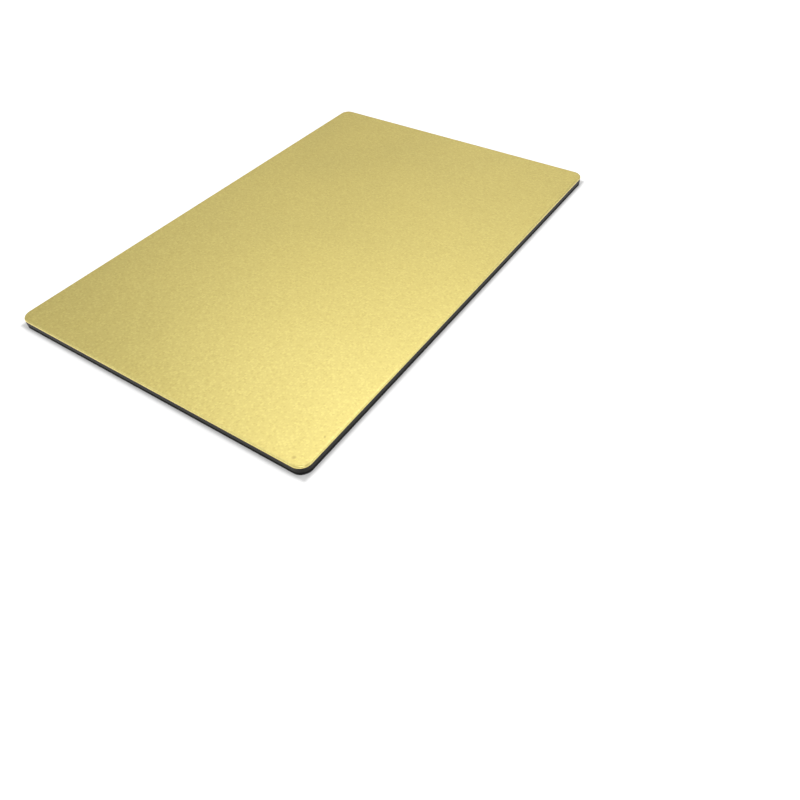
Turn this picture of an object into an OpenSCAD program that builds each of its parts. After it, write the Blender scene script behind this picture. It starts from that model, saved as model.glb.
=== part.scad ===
// Aluminium composite panel, die-cut as a hand sample. Two thin aluminium sheets
// are bonded to a black polyethylene core. The die rolls the coated face sheet
// down over the shoulder of the core all the way round, shears the upper part of
// the core smooth and tears the rest.
// Millimetres. +Z points out of the coated face, +Y runs along the long side, and
// the origin is the centre of the back.

/* [Panel] */
// Length of the long side
panel_length = 150; // [60:1:300]
// Length of the short side
panel_width = 100; // [40:1:200]
// Radius of the four corners, seen from above
corner_r = 3.2; // [1.5:0.1:15]

/* [Layers] */
// Thickness of the coated face sheet
face_t = 0.3; // [0.2:0.05:0.5]
// Thickness of the core
core_t = 2.4; // [2:0.1:5.4]
// Thickness of the back sheet
back_t = 0.3; // [0.2:0.05:0.5]

/* [Cut edge] */
// Outer radius of the face sheet where it is rolled over the edge
roll_r = 0.6; // [0.55:0.05:0.9]
// Height of the torn band, from the back up
torn_h = 1.05; // [0.6:0.05:1.3]
// Step from the smooth band in to the torn band
lip = 0.03; // [0.01:0.01:0.1]
// How much further in the torn band leans by the time it reaches the back
lean = 0.05; // [0.01:0.01:0.2]

/* [Hidden] */
$fn = 96;

panel_t = back_t + core_t + face_t;
// Underside of the face sheet, and the level where its rolled rim ends
face_z = panel_t - face_t;
rim_z = panel_t - roll_r;
// Top of the torn band's own face, below the step
torn_z = torn_h - lip;
// The corners and the roll turn about centres this far apart
roll_x = corner_r - roll_r;

// Where the torn band stands at height z, outwards from a corner's centre
function torn_x(z) = corner_r - lip - lean * (1 - z / torn_z);

// Sweeps a cut edge round the outline and fills the layer between z0 and z1.
// The child is the section of the edge: x runs outwards from the centre of a
// corner, and y is the height.
module layer(z0, z1) {
    half_w = panel_width / 2 - corner_r;
    half_l = panel_length / 2 - corner_r;

    translate([-half_w, -half_l, z0])
        cube([2 * half_w, 2 * half_l, z1 - z0]);

    // Quarter turns at the corners
    for (quarter = [0 : 3]) {
        sx = quarter == 0 || quarter == 3 ? 1 : -1;
        sy = quarter < 2 ? 1 : -1;
        translate([sx * half_w, sy * half_l, 0])
            rotate([0, 0, 90 * quarter])
                rotate_extrude(angle = 90)
                    children();
    }

    // Straight runs: a long side and a short side, then the pair across from them
    for (turn = [0, 180]) {
        rotate([0, 0, turn])
            translate([half_w, half_l, 0])
                rotate([90, 0, 0])
                    linear_extrude(2 * half_l)
                        children();
        rotate([0, 0, turn + 90])
            translate([half_l, half_w, 0])
                rotate([90, 0, 0])
                    linear_extrude(2 * half_w)
                        children();
    }
}

// Flat sheet that ends in a quarter ring, turned down over the core
module face_section() {
    translate([0, face_z])
        square([roll_x, face_t]);
    translate([roll_x, rim_z])
        intersection() {
            difference() {
                circle(roll_r);
                circle(roll_r - face_t);
            }
            square(roll_r);
        }
}

// Torn band, step and smooth band, then the shoulder that fills the rolled rim
module core_section() {
    polygon([
        [0, back_t],
        [torn_x(back_t), back_t],
        [torn_x(torn_z), torn_z],
        [corner_r, torn_h],
        [corner_r, rim_z],
        [0, rim_z]
    ]);
    translate([0, rim_z])
        square([roll_x, face_z - rim_z]);
    translate([roll_x, rim_z])
        intersection() {
            circle(roll_r - face_t);
            square(roll_r - face_t);
        }
}

// Foot of the torn band
module back_section() {
    polygon([
        [0, 0],
        [torn_x(0), 0],
        [torn_x(back_t), back_t],
        [0, back_t]
    ]);
}

module face_sheet() {
    color([0.82, 0.71, 0.40])
        layer(face_z, panel_t)
            face_section();
}

module core() {
    color([0.10, 0.10, 0.10])
        layer(back_t, face_z)
            core_section();
}

module back_sheet() {
    color([0.66, 0.67, 0.68])
        layer(0, back_t)
            back_section();
}

face_sheet();
core();
back_sheet();
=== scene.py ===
# %% [markdown]
# # Aluminium composite panel, a hand sample
# Two thin aluminium sheets are bonded to a black polyethylene core. A die cuts the
# sample out of a large sheet: it rolls the gold face sheet down over the edge,
# shears the upper part of the core smooth, and tears the rest. The panel lies on
# its back, with the gold face up.
#
# The exact solids are loaded first. They say where everything goes, and each sheet
# is then modelled again with finer edges and the finish of the real one.

# %% The exact model
import math

import bpy
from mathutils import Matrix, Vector


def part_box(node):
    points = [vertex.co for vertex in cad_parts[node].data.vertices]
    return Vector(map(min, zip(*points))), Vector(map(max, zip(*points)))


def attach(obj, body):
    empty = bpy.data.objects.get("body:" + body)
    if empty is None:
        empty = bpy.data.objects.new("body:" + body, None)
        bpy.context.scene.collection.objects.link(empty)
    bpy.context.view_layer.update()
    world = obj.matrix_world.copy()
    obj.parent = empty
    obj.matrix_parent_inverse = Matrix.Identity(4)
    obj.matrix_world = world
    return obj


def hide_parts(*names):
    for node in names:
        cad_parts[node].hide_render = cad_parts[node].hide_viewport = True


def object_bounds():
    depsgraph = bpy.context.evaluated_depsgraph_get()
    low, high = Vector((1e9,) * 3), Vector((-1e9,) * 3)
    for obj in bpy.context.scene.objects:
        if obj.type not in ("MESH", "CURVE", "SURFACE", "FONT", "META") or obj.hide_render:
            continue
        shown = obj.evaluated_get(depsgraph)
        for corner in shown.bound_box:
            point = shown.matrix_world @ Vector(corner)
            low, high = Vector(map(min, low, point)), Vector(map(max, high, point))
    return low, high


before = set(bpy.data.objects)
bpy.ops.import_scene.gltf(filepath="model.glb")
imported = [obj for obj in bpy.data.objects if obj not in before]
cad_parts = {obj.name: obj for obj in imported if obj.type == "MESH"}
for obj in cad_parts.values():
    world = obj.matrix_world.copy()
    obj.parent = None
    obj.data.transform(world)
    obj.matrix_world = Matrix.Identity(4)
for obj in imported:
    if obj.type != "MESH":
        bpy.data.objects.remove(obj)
cad_low, cad_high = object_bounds()
MM = 0.001

# Levels, from the back up, read off the exact solids
back_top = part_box("back_sheet")[1].z
rim_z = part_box("face_sheet")[0].z
face_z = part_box("core")[1].z
face_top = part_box("face_sheet")[1].z
width = cad_high.x - cad_low.x
length = cad_high.y - cad_low.y
print(f"panel {width / MM:.1f} x {length / MM:.1f} x {face_top / MM:.2f} mm")
print(f"back sheet to {back_top / MM:.2f}, rim at {rim_z / MM:.2f}, core to {face_z / MM:.2f} mm")

# %% [markdown]
# ## Camera
# The photograph looks down on the panel past one corner, from close by, with a
# slightly wide lens. The camera aims at a point beside the panel, because the
# panel lies left of the middle of the frame, and it is tipped a little.

# %% Camera
camera_data = bpy.data.cameras.new("camera")
camera_data.lens = 31.52
camera_data.sensor_width = 36
camera_data.clip_start = 0.005
camera_data.clip_end = 20
camera = bpy.data.objects.new("camera", camera_data)
bpy.context.scene.collection.objects.link(camera)
bpy.context.scene.camera = camera

eye = Vector((122.49, -139.40, 122.28)) * MM
aim = Vector((56.02, -45.97, 3.0)) * MM
camera.location = eye
camera.rotation_euler = (aim - eye).to_track_quat("-Z", "Y").to_euler()
camera.rotation_euler.rotate_axis("Z", math.radians(-2.487))
print(f"camera {(eye - aim).length / MM:.0f} mm from the point that it aims at")

# %% [markdown]
# ## Working by hand, in code
# Every piece starts as the outline of the panel: a flat plane, with its four
# corners rounded by a vertex bevel. These helpers do what a hand does with the
# mouse, such as clear the selection, or pick the face that points up or down.


# %% Helpers for modelling
def clear_selection():
    """Object mode, with nothing selected."""
    if bpy.context.mode != "OBJECT":
        bpy.ops.object.mode_set(mode="OBJECT")
    bpy.ops.object.select_all(action="DESELECT")


def pick(piece, kind, wanted):
    """Selects the faces, edges or vertices that are wanted, and goes to edit mode."""
    bpy.ops.object.mode_set(mode="OBJECT")
    mesh = piece.data
    for part in (mesh.vertices, mesh.edges, mesh.polygons):
        part.foreach_set("select", [False] * len(part))
    found = [item for item in getattr(mesh, kind) if wanted(item)]
    for item in found:
        item.select = True
    bpy.ops.object.mode_set(mode="EDIT")
    modes = {"vertices": "VERT", "edges": "EDGE", "polygons": "FACE"}
    bpy.ops.mesh.select_mode(type=modes[kind])
    return len(found)


corner_r = 3.2 * MM
corner_steps = 24


def outline(name, z, fineness):
    """The panel's outline as one face at height z, in edit mode."""
    clear_selection()
    bpy.ops.mesh.primitive_plane_add(size=1, location=(0, 0, z))
    piece = bpy.context.active_object
    piece.name = piece.data.name = name
    piece.scale = (width, length, 1)
    bpy.ops.object.transform_apply(location=True, rotation=True, scale=True)
    bpy.ops.object.mode_set(mode="EDIT")
    bpy.ops.mesh.select_all(action="SELECT")
    bpy.ops.mesh.bevel(affect="VERTICES", offset=corner_r, segments=corner_steps)

    # The face is taken out while its long edges are cut short, and then put back
    bpy.ops.mesh.select_all(action="SELECT")
    bpy.ops.mesh.delete(type="ONLY_FACE")
    for side in (length, width):
        def straight(edge):
            a, b = (piece.data.vertices[i].co for i in edge.vertices)
            return abs((a - b).length - (side - 2 * corner_r)) < 0.01 * MM

        run = (side - 2 * corner_r) / fineness
        first = max(0, min(100, round(math.sqrt(run)) - 1))
        second = max(0, round(run / (first + 1)) - 1)
        pick(piece, "edges", straight)
        if first:
            bpy.ops.mesh.subdivide(number_cuts=first)
        if second:
            bpy.ops.mesh.subdivide(number_cuts=second)
    bpy.ops.mesh.select_all(action="SELECT")
    bpy.ops.mesh.edge_face_add()
    bpy.ops.mesh.select_mode(type="FACE")
    bpy.ops.object.mode_set(mode="OBJECT")
    upside_down = piece.data.polygons[0].normal.z < 0
    bpy.ops.object.mode_set(mode="EDIT")
    if upside_down:
        bpy.ops.mesh.flip_normals()
    return piece


def finish_piece(piece, angle):
    """Normals outwards, smooth shading up to an angle, and a line about the result."""
    bpy.ops.object.mode_set(mode="EDIT")
    bpy.ops.mesh.select_all(action="SELECT")
    bpy.ops.mesh.normals_make_consistent(inside=False)
    clear_selection()
    piece.select_set(True)
    bpy.context.view_layer.objects.active = piece
    bpy.ops.object.shade_smooth_by_angle(angle=math.radians(angle))
    low = [min(v.co[i] for v in piece.data.vertices) / MM for i in range(3)]
    high = [max(v.co[i] for v in piece.data.vertices) / MM for i in range(3)]
    triangles = sum(len(p.vertices) - 2 for p in piece.data.polygons)
    print(piece.name, "from", [round(x, 3) for x in low], "to", [round(x, 3) for x in high])
    print(f"  {triangles} triangles")


# %% [markdown]
# ## Face sheet
# On the real panel this is aluminium strip, 0.3 mm thick, with the gold coating
# baked on. The die folds it down round the edge to a radius of 0.6 mm. It could be
# swept from a section along a curve. It is quicker to make a shallow tray: the
# outline is pushed up, its upper rim is rounded by a bevel, and Solidify then gives
# the tray its thickness, inwards, so that the outside keeps its exact size.

# %% Face sheet, the tray
roll_r = face_top - rim_z
sheet_t = face_top - face_z

face_sheet = outline("gold_face", rim_z, 12 * MM)
bpy.ops.mesh.extrude_region_move(TRANSFORM_OT_translate={"value": (0, 0, roll_r)})


def on_rim(edge):
    ends = [face_sheet.data.vertices[i].co.z for i in edge.vertices]
    return min(ends) > face_top - 0.01 * MM


pick(face_sheet, "edges", on_rim)
bpy.ops.mesh.bevel(affect="EDGES", offset=roll_r, segments=14, clamp_overlap=False)

# The tray is open underneath
pick(face_sheet, "polygons", lambda p: p.normal.z < -0.999)
bpy.ops.mesh.delete(type="FACE")

# A ring round the flat keeps it flat to the light, right up to the roll
pick(face_sheet, "polygons", lambda p: p.normal.z > 0.999 and p.area > 1e-3)
bpy.ops.mesh.inset(thickness=0.9 * MM, depth=0)

# %% Face sheet, its thickness
bpy.ops.mesh.select_all(action="SELECT")
bpy.ops.mesh.remove_doubles(threshold=0.001 * MM)
bpy.ops.object.mode_set(mode="OBJECT")
thick = face_sheet.modifiers.new("thickness", "SOLIDIFY")
thick.thickness = sheet_t
thick.offset = -1
thick.use_even_offset = True
bpy.ops.object.modifier_apply(modifier=thick.name)

# The die leaves the end of the rolled rim level all round
pick(face_sheet, "vertices", lambda v: v.co.z < rim_z + 0.02 * MM)
bpy.ops.transform.resize(value=(1, 1, 0), center_override=(0, 0, rim_z))
finish_piece(face_sheet, 35)

# %% [markdown]
# ## Core
# The core is black polyethylene. The upper part of its cut edge was sheared and is
# nearly smooth. Below it the plastic tore, which left a small step and a rough face
# that leans in towards the back. A sculpted edge would do, but the die's work is
# the same all round, so each level of the edge is one inset of the outline with a
# depth: no width for the smooth band, a little for the step and for the lean.
#
# The piece is made from the top of the smooth band down, in fine rows. Those rows
# give the relief something to move later.

# %% Core, the cut edge
torn_z = 1.05 * MM
lip = 0.03 * MM
lean = 0.05 * MM

core = outline("black_edge", rim_z, 0.36 * MM)
bpy.ops.mesh.flip_normals()


def step_down(rows, drop, run):
    """Pushes the face that points down by drop, and in by run, in so many rows."""
    for _ in range(rows):
        if run:
            bpy.ops.mesh.inset(thickness=run / rows, depth=drop / rows)
        else:
            bpy.ops.mesh.extrude_region_move(
                TRANSFORM_OT_translate={"value": (0, 0, -drop / rows)})


foot_lean = lean * (torn_z - lip - back_top) / (torn_z - lip)
step_down(9, rim_z - torn_z, 0)
step_down(1, lip, lip)
step_down(8, torn_z - lip - back_top, foot_lean)

# The shoulder that fills the rolled rim, a quarter round in four steps
pick(core, "polygons", lambda p: p.normal.z > 0.999 and p.area > 1e-3)
bpy.ops.mesh.inset(thickness=sheet_t, depth=0)
shoulder_r = face_z - rim_z
for step in range(4):
    a, b = (math.radians(90 * (step + k) / 4) for k in (0, 1))
    bpy.ops.mesh.inset(thickness=shoulder_r * (math.cos(a) - math.cos(b)),
                       depth=shoulder_r * (math.sin(b) - math.sin(a)))
print("core so far:", len(core.data.polygons), "faces")

# %% [markdown]
# ## Relief of the cut edge
# Polyethylene tears in long lying ridges, and the sheared band above keeps faint
# lines of the extruder. Carving them one by one would take days. Displace moves the
# rows by a cloud texture instead, and only inwards, so that the panel keeps its
# size. An empty that is flat in Z carries the texture, which stretches the clouds
# along the edge. It goes once the modifier is applied.

# %% Core, its relief
bpy.ops.object.mode_set(mode="OBJECT")
carrier = bpy.data.objects.new("carrier", None)
bpy.context.scene.collection.objects.link(carrier)


def relief(name, depth, cloud, flatness, share):
    """Pushes the edge in by up to depth, by clouds of one size, flattened in Z."""
    carrier.scale = (1, 1, flatness)
    group = core.vertex_groups.new(name=name)
    for vertex in core.data.vertices:
        outside = (abs(vertex.co.x) > width / 2 - 0.3 * MM or abs(vertex.co.y) > length / 2 - 0.3 * MM
                   or (Vector((abs(vertex.co.x), abs(vertex.co.y)))
                       - Vector((width / 2 - corner_r, length / 2 - corner_r))).length > corner_r - 0.2 * MM)
        amount = share(vertex.co.z) if outside else 0
        if amount > 0:
            group.add([vertex.index], amount, "REPLACE")
    texture = bpy.data.textures.new(name, "CLOUDS")
    texture.noise_scale = cloud
    texture.noise_depth = 2
    bpy.context.view_layer.update()
    push = core.modifiers.new(name, "DISPLACE")
    push.texture = texture
    push.texture_coords = "OBJECT"
    push.texture_coords_object = carrier
    push.vertex_group = name
    push.mid_level = 1
    push.strength = depth
    clear_selection()
    bpy.context.view_layer.objects.active = core
    bpy.ops.object.modifier_apply(modifier=push.name)


# How far each level gives way, from none at the foot and at the rim
relief("tear", 0.10 * MM, 1.1 * MM, 0.22,
       lambda z: 0 if z > torn_z - 0.5 * lip or z < back_top + 0.02 * MM else 1)
relief("shear", 0.016 * MM, 2.4 * MM, 0.08,
       lambda z: 0 if z < torn_z - 0.5 * lip or z > rim_z - 0.02 * MM else 1)
bpy.data.objects.remove(carrier)
finish_piece(core, 50)

# %% [markdown]
# ## Back sheet
# The plain aluminium sheet on the back is cut last, where the panel breaks away
# from the die. It is a flat plate with the lean of the torn band on its edge and a
# small burr round its foot, which a bevel softens.

# %% Back sheet
back_sheet = outline("plain_back", 0, 6 * MM)
bpy.ops.mesh.flip_normals()
foot_in = lip + lean
bpy.ops.mesh.inset(thickness=foot_in, depth=0)
bpy.ops.mesh.select_all(action="INVERT")
bpy.ops.mesh.delete(type="FACE")
bpy.ops.mesh.select_all(action="SELECT")
bpy.ops.mesh.flip_normals()
bpy.ops.mesh.extrude_region_move(TRANSFORM_OT_translate={"value": (0, 0, back_top)})
bpy.ops.transform.resize(value=(1 + 2 * (lean - foot_lean) / width,
                                1 + 2 * (lean - foot_lean) / length, 1))


def at_foot(edge):
    return all(back_sheet.data.vertices[i].co.z < 0.001 * MM for i in edge.vertices)


pick(back_sheet, "edges", at_foot)
bpy.ops.mesh.bevel(affect="EDGES", offset=0.05 * MM, segments=3, clamp_overlap=False)
finish_piece(back_sheet, 35)

# %% [markdown]
# ## Sockets that add up
# A finish is a sum of patterns. This class wraps the output of a shader node, so
# that a sum or a product is written as one, and adds the Math node that it needs.

# %% Helpers for finishes
class Wire:
    """The output of a shader node, for sums and products."""

    def __init__(self, socket):
        self.socket = socket

    def math(self, operation, *values):
        node = self.socket.id_data.nodes.new("ShaderNodeMath")
        node.operation = operation
        for slot, value in zip(node.inputs, values):
            plug(slot, value)
        return Wire(node.outputs[0])

    def __add__(self, other):
        return self.math("ADD", self, other)

    def __sub__(self, other):
        return self.math("SUBTRACT", self, other)

    def __rsub__(self, other):
        return self.math("SUBTRACT", other, self)

    def __mul__(self, other):
        return self.math("MULTIPLY", self, other)

    __radd__ = __add__
    __rmul__ = __mul__


def plug(slot, value):
    """Sets a socket to a value, or links it to a wire."""
    if isinstance(value, Wire):
        slot.id_data.links.new(value.socket, slot)
    else:
        slot.default_value = value


class Finish:
    """A material, and the one way in which its nodes are made."""

    def __init__(self, name):
        self.material = bpy.data.materials.new(name)
        self.material.use_nodes = True
        self.tree = self.material.node_tree
        self.tree.nodes.clear()

    def node(self, kind, settings=(), sockets=(), result=0):
        node = self.tree.nodes.new("ShaderNode" + kind)
        for key, value in dict(settings).items():
            if key == "stops":
                ramp = node.color_ramp
                while len(ramp.elements) < len(value):
                    ramp.elements.new(1)
                for element, (place, colour) in zip(ramp.elements, value):
                    element.position = place
                    element.color = colour
            else:
                setattr(node, key, value)
        for key, value in dict(sockets).items():
            if isinstance(key, str):
                slot = next(s for s in node.inputs if s.enabled and s.name == key)
            else:
                slot = node.inputs[key]
            plug(slot, value)
        made = [s for s in node.outputs if s.enabled]
        return Wire(made[result] if isinstance(result, int) else node.outputs[result])

    def place(self, scale=(1, 1, 1)):
        """Position on the object in millimetres, stretched by scale."""
        spot = self.node("TexCoord", result="Object")
        return self.node("Mapping", {}, {"Vector": spot, "Scale": [s / MM for s in scale]})

    def height(self):
        """Height on the object in millimetres."""
        spot = self.node("TexCoord", result="Object")
        return self.node("SeparateXYZ", {}, {"Vector": spot}, "Z") * (1 / MM)

    def noise(self, size, detail=2, scale=(1, 1, 1), rough=0.5):
        """Cloudy pattern from 0 to 1, with spots of a size in millimetres."""
        return self.node("TexNoise", {}, {"Vector": self.place(scale), "Scale": 1 / size,
                                          "Detail": detail, "Roughness": rough}, "Fac")

    def ramp(self, value, low, high, start=0, end=1):
        """Goes smoothly from start to end while value goes from low to high."""
        return self.node("MapRange", {"interpolation_type": "SMOOTHSTEP"},
                         {"Value": value, "From Min": low, "From Max": high,
                          "To Min": start, "To Max": end})

    def mix(self, share, first, second):
        """Colour between first and second."""
        return self.node("Mix", {"data_type": "RGBA"},
                         {"Factor": share, "A": first, "B": second})

    def surface(self, settings):
        """The finish's Principled shader, on the material's output."""
        skin = self.node("BsdfPrincipled", {}, settings)
        self.node_output(skin)

    def node_output(self, shader):
        out = self.tree.nodes.new("ShaderNodeOutputMaterial")
        plug(out.inputs["Surface"], shader)

    def dress(self, piece):
        """Gives the piece this finish."""
        piece.data.materials.clear()
        piece.data.materials.append(self.material)
        print(piece.name, "wears", self.material.name, "with", len(self.tree.nodes), "nodes")


# %% [markdown]
# ## Gold coating
# The coating is a coil coating: fine aluminium flakes in a gold binder, under a
# satin clear coat. Flakes lie nearly flat but not quite, so each one tilts the light
# its own way. Voronoi cells of a tenth of a millimetre stand for the flakes, and each
# cell tilts the normal by its own colour. Flakes also gather in clumps of about
# 0.6 mm. Wider cells stand for those, each lighter or darker in the colour, most in
# its middle: partly the clumps' own tone, and partly painted flake sparkle.

# %% Gold coating
gold = Finish("gold_lacquer")
cell = gold.node("TexVoronoi", {}, {"Vector": gold.place(), "Scale": 1 / 0.10}, "Color")
lot = gold.node("SeparateColor", {}, {"Color": cell}, "Red")
cluster = gold.node("TexNoise", {}, {"Vector": gold.place(), "Scale": 1 / 0.60, "Detail": 1}, "Color")
grain = gold.noise(0.60, 1)
clump = {"Vector": gold.place(), "Scale": 1 / 0.62}
own = gold.node("SeparateColor", {}, {"Color": gold.node("TexVoronoi", {}, clump, "Color")}, "Red")
speck = gold.ramp(gold.node("TexVoronoi", {}, clump, "Distance"), 0.15, 0.75, 1, 0)
# Painted sparkle, partly the clumps' own tone: each wide cell is lighter or darker in the colour
tone_and_painted_sparkle = gold.ramp(own, 0.45, 1.0, 0, 1.05) - gold.ramp(own, 0, 0.4, 0.75, 0)
shade = 0.43 + speck * tone_and_painted_sparkle + gold.ramp(grain, 0.3, 0.7, -0.15, 0.15) + (lot - 0.5) * 0.1
deep_gold = (0.884, 0.732, 0.234, 1)
pale_gold = (1.000, 0.864, 0.299, 1)
coat_colour = gold.mix(shade, deep_gold, pale_gold)

# Three small marks in the coating, where the photograph shows them
marks = (((45.93, -72.96), 0.68, 0.32), ((48.06, -64.59), 0.38, 0.30), ((13.87, 33.81), 0.38, 0.30))
mark = None
for (x, y), radius, depth in marks:
    gap = gold.node("VectorMath", {"operation": "DISTANCE"},
                    {0: gold.place(), 1: (x, y, face_top / MM)}, "Value")
    spot = gold.ramp(gap + gold.noise(0.35, 1) * 0.3 * radius, radius * 0.35, radius * 1.25, depth, 0)
    mark = spot if mark is None else mark + spot
coat_colour = gold.mix(mark, coat_colour, (0.34, 0.17, 0.01, 1))

# Single flakes tilt by a few degrees, and clusters of them share a tilt. Where the
# sheet is rolled, the die has pressed them flat and burnished the lacquer.
normal = gold.node("NewGeometry", result="Normal")
facing = gold.node("SeparateXYZ", {}, {"Vector": gold.node("TexCoord", result="Normal")}, "Z")
burnished = gold.ramp(facing, 0.985, 0.9998, 1, 0)
for pattern, tilt in ((cell, 0.06), (cluster, 0.06)):
    off = gold.node("VectorMath", {"operation": "SUBTRACT"}, {0: pattern, 1: (0.5, 0.5, 0.5)})
    off = gold.node("VectorMath", {"operation": "SCALE"}, {0: off, "Scale": tilt * (1 - burnished)})
    normal = gold.node("VectorMath", {"operation": "ADD"}, {0: normal, 1: off})
normal = gold.node("VectorMath", {"operation": "NORMALIZE"}, {0: normal})
peel = (gold.noise(1.6, 2) * 0.6 + grain * 0.4 - 0.5) * (1 - burnished) - mark * 2
normal = gold.node("Bump", {}, {"Height": peel, "Distance": 0.004 * MM, "Strength": 1.0,
                                "Normal": normal})
gold.surface({
    "Base Color": coat_colour,
    "Metallic": 0.85,
    "Roughness": gold.ramp(gold.noise(26, 3), 0.3, 0.7, 0.42, 0.45) + (lot - 0.5) * 0.08 - burnished * 0.08,
    "Coat Weight": 0.3 + burnished * 0.3,
    "Coat Roughness": 0.24,
    "Coat IOR": 1.5,
    "Specular Tint": (1.0, 0.90, 0.80, 1),
    "Normal": normal,
})
gold.dress(face_sheet)

# %% [markdown]
# ## Cut polyethylene
# Black polyethylene is waxy: nearly black, with a soft broad gloss where it was
# sheared, and dull where it tore; the colour is also darker in that lower, torn band.
# A pale thread of stretched plastic runs along the step. Where it is along the height
# decides what it is, so the height on the object steers the mix, broken up by a little noise.

# %% Cut polyethylene
black = Finish("cut_polyethylene")
level = black.height() + (black.noise(3.5, 2, (1, 1, 3)) - 0.5) * 0.16
torn = black.ramp(level, torn_z / MM - 0.05, torn_z / MM + 0.02, 1, 0)
lines = black.noise(5, 4, (1, 1, 60), 0.65)
pits = black.noise(0.5, 3, (1, 1, 2.4), 0.6)
sheared_colour = black.mix(lines, (0.009, 0.0085, 0.008, 1), (0.034, 0.032, 0.030, 1))
lower_band_colour = black.mix(pits, (0.003, 0.003, 0.003, 1), (0.016, 0.0155, 0.014, 1))
edge_colour = black.mix(torn, sheared_colour, lower_band_colour)
thread = (black.ramp(level, torn_z / MM - 0.09, torn_z / MM - 0.02)
          * black.ramp(level, torn_z / MM + 0.02, torn_z / MM + 0.10, 1, 0)
          * black.ramp(black.noise(1.2, 2, (1, 1, 1)), 0.35, 0.6))
edge_colour = black.mix(thread * 0.7, edge_colour, (0.085, 0.083, 0.078, 1))
# Painted shadow: a dark line just under the rolled rim, where the coating overhangs the core
painted_rim_shadow = black.ramp(black.height(), rim_z / MM - 0.14, rim_z / MM - 0.04)
edge_colour = black.mix(painted_rim_shadow * 0.8, edge_colour, (0.006, 0.006, 0.006, 1))
heave = lines * 0.5 * (1 - torn) + pits * 2.4 * torn
black.surface({
    "Base Color": edge_colour,
    "Roughness": black.ramp(torn, 0, 1, 0.48, 0.80) + (lines - 0.5) * 0.12,
    "IOR": 1.51,
    "Specular IOR Level": 0.18,
    "Normal": black.node("Bump", {}, {"Height": heave, "Distance": 0.02 * MM, "Strength": 1.0}),
})
black.dress(core)

# %% [markdown]
# ## Back coating
# The back has a thin clear wash over rolled aluminium. The mill's rollers leave
# fine lines along the strip, and stacking leaves faint rubs. Its cut edge isn't
# bright: the die smears the black plastic over it.

# %% Back coating
plain = Finish("rolled_aluminium")
rolled = plain.noise(14, 5, (60, 1, 1), 0.7)
bands = plain.noise(40, 4, (22, 1, 1), 0.6)
cloud = plain.noise(18, 3)
plain_colour = plain.mix(rolled * 0.3 + plain.ramp(bands, 0.3, 0.7, 0, 0.4) + cloud * 0.3,
                         (0.48, 0.49, 0.50, 1), (0.72, 0.73, 0.74, 1))
facing = plain.node("SeparateXYZ", {}, {"Vector": plain.node("TexCoord", result="Normal")}, "Z")
smear = (plain.ramp(facing, -0.9, -0.5)
         * plain.ramp(plain.noise(0.9, 3, (1, 1, 2)), 0.30, 0.55, 0.72, 0.97))
plain_colour = plain.mix(smear, plain_colour, (0.03, 0.03, 0.031, 1))
plain.surface({
    "Base Color": plain_colour,
    "Metallic": 0.95 * (1 - smear),
    "Roughness": 0.30 + rolled * 0.08 + bands * 0.10 + cloud * 0.05 + smear * 0.3,
    "Specular IOR Level": 0.2,
    "Coat Weight": 0.25 * (1 - smear),
    "Coat Roughness": 0.3,
    "Normal": plain.node("Bump", {}, {"Height": rolled, "Distance": 0.003 * MM, "Strength": 1.0}),
})
plain.dress(back_sheet)
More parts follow.
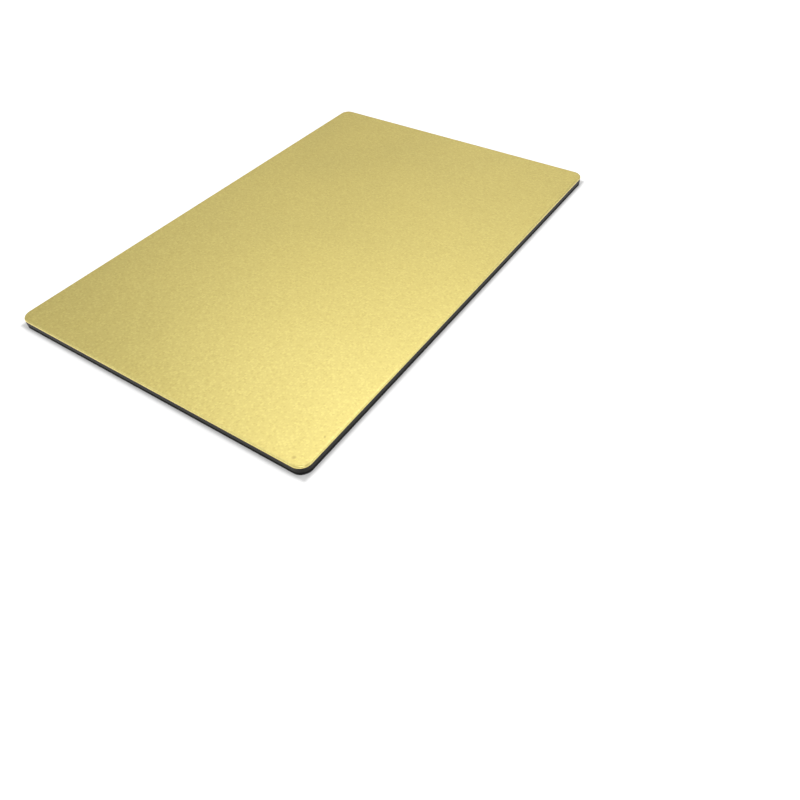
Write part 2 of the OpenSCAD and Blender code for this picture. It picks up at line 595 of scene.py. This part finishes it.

# %% [markdown]
# ## Floor and light
# The photograph has a white ground that fades out, with a thin soft shadow round
# the panel. The floor shows white to the camera and in reflections, and a share of
# it is still a plain matt surface, so that the shadow falls on it.
# Close to the panel the glow is weaker, which paints a darker shadow round its foot.

# %% Floor
clear_selection()
bpy.ops.mesh.primitive_circle_add(vertices=96, radius=3, fill_type="NGON",
                                  location=(0, 0, -0.02 * MM))
floor = bpy.context.active_object
floor.name = floor.data.name = "floor"
ground = Finish("ground")
matt = ground.node("BsdfDiffuse", {}, {"Color": (0.78, 0.78, 0.78, 1)})
seen = ground.node("LightPath", result="Is Camera Ray") + ground.node("LightPath", result="Is Glossy Ray")
reach = ground.node("VectorMath", {"operation": "ABSOLUTE"}, {0: ground.place()}, "Vector")
reach = ground.node("VectorMath", {"operation": "SUBTRACT"},
                    {0: reach, 1: (width / 2 / MM, length / 2 / MM, 0)}, "Vector")
reach = ground.node("VectorMath", {"operation": "MAXIMUM"}, {0: reach, 1: (0, 0, 0)}, "Vector")
gap = ground.node("VectorMath", {"operation": "LENGTH"}, {0: reach}, "Value")
# Painted shadow: the glow is weakest at the panel's foot and full 1.2 mm out; far off it rises again for the
# white backdrop
backdrop_glow_and_painted_shadow = ground.ramp(gap, 0, 1.2, 0.1, 0.5) + ground.ramp(gap, 120, 700, 0, 0.5)
white = ground.node("Emission", {}, {"Color": (1, 1, 1, 1), "Strength": seen * backdrop_glow_and_painted_shadow})
ground.node_output(ground.node("AddShader", {}, {0: matt, 1: white}))
floor.data.materials.append(ground.material)

# %% World and lamps
scene = bpy.context.scene
scene.view_settings.view_transform = "Standard"
world = bpy.data.worlds.new("studio")
scene.world = world
world.use_nodes = True
sky = world.node_tree
sky.nodes.clear()
backdrop = sky.nodes.new("ShaderNodeBackground")
rays = sky.nodes.new("ShaderNodeLightPath")
sky_out = sky.nodes.new("ShaderNodeOutputWorld")
plug(backdrop.inputs["Color"], (1, 1, 1, 1))
plug(backdrop.inputs["Strength"], Wire(rays.outputs["Is Camera Ray"]) * 0.70 + 0.30)
plug(sky_out.inputs["Surface"], Wire(backdrop.outputs[0]))


def softbox(name, azimuth, elevation, power, size=0.6):
    """A square lamp that faces the panel from a direction, in degrees from +X and up."""
    lamp = bpy.data.lights.new(name, "AREA")
    lamp.size = size
    lamp.energy = power
    box = bpy.data.objects.new(name, lamp)
    scene.collection.objects.link(box)
    turn, rise = math.radians(azimuth), math.radians(elevation)
    box.location = 0.86 * Vector((math.cos(turn) * math.cos(rise),
                                  math.sin(turn) * math.cos(rise), math.sin(rise)))
    box.rotation_euler = (-box.location).to_track_quat("-Z", "Y").to_euler()
    return box


softbox("above", 125, 62, 1.50)
softbox("right", 35, 45, 1.60)
softbox("left", 228, 49, 1.25)
softbox("front", 309, 47, 1.60, 0.45)
softbox("far", 100, 40, 0.18)

# %% [markdown]
# ## Onto the frame
# Each modelled piece rides on the panel's one body and stands for its exact solid.

# %% Onto the frame
for piece, node in ((face_sheet, "face_sheet"), (core, "core"), (back_sheet, "back_sheet")):
    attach(piece, "root")
    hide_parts(node)
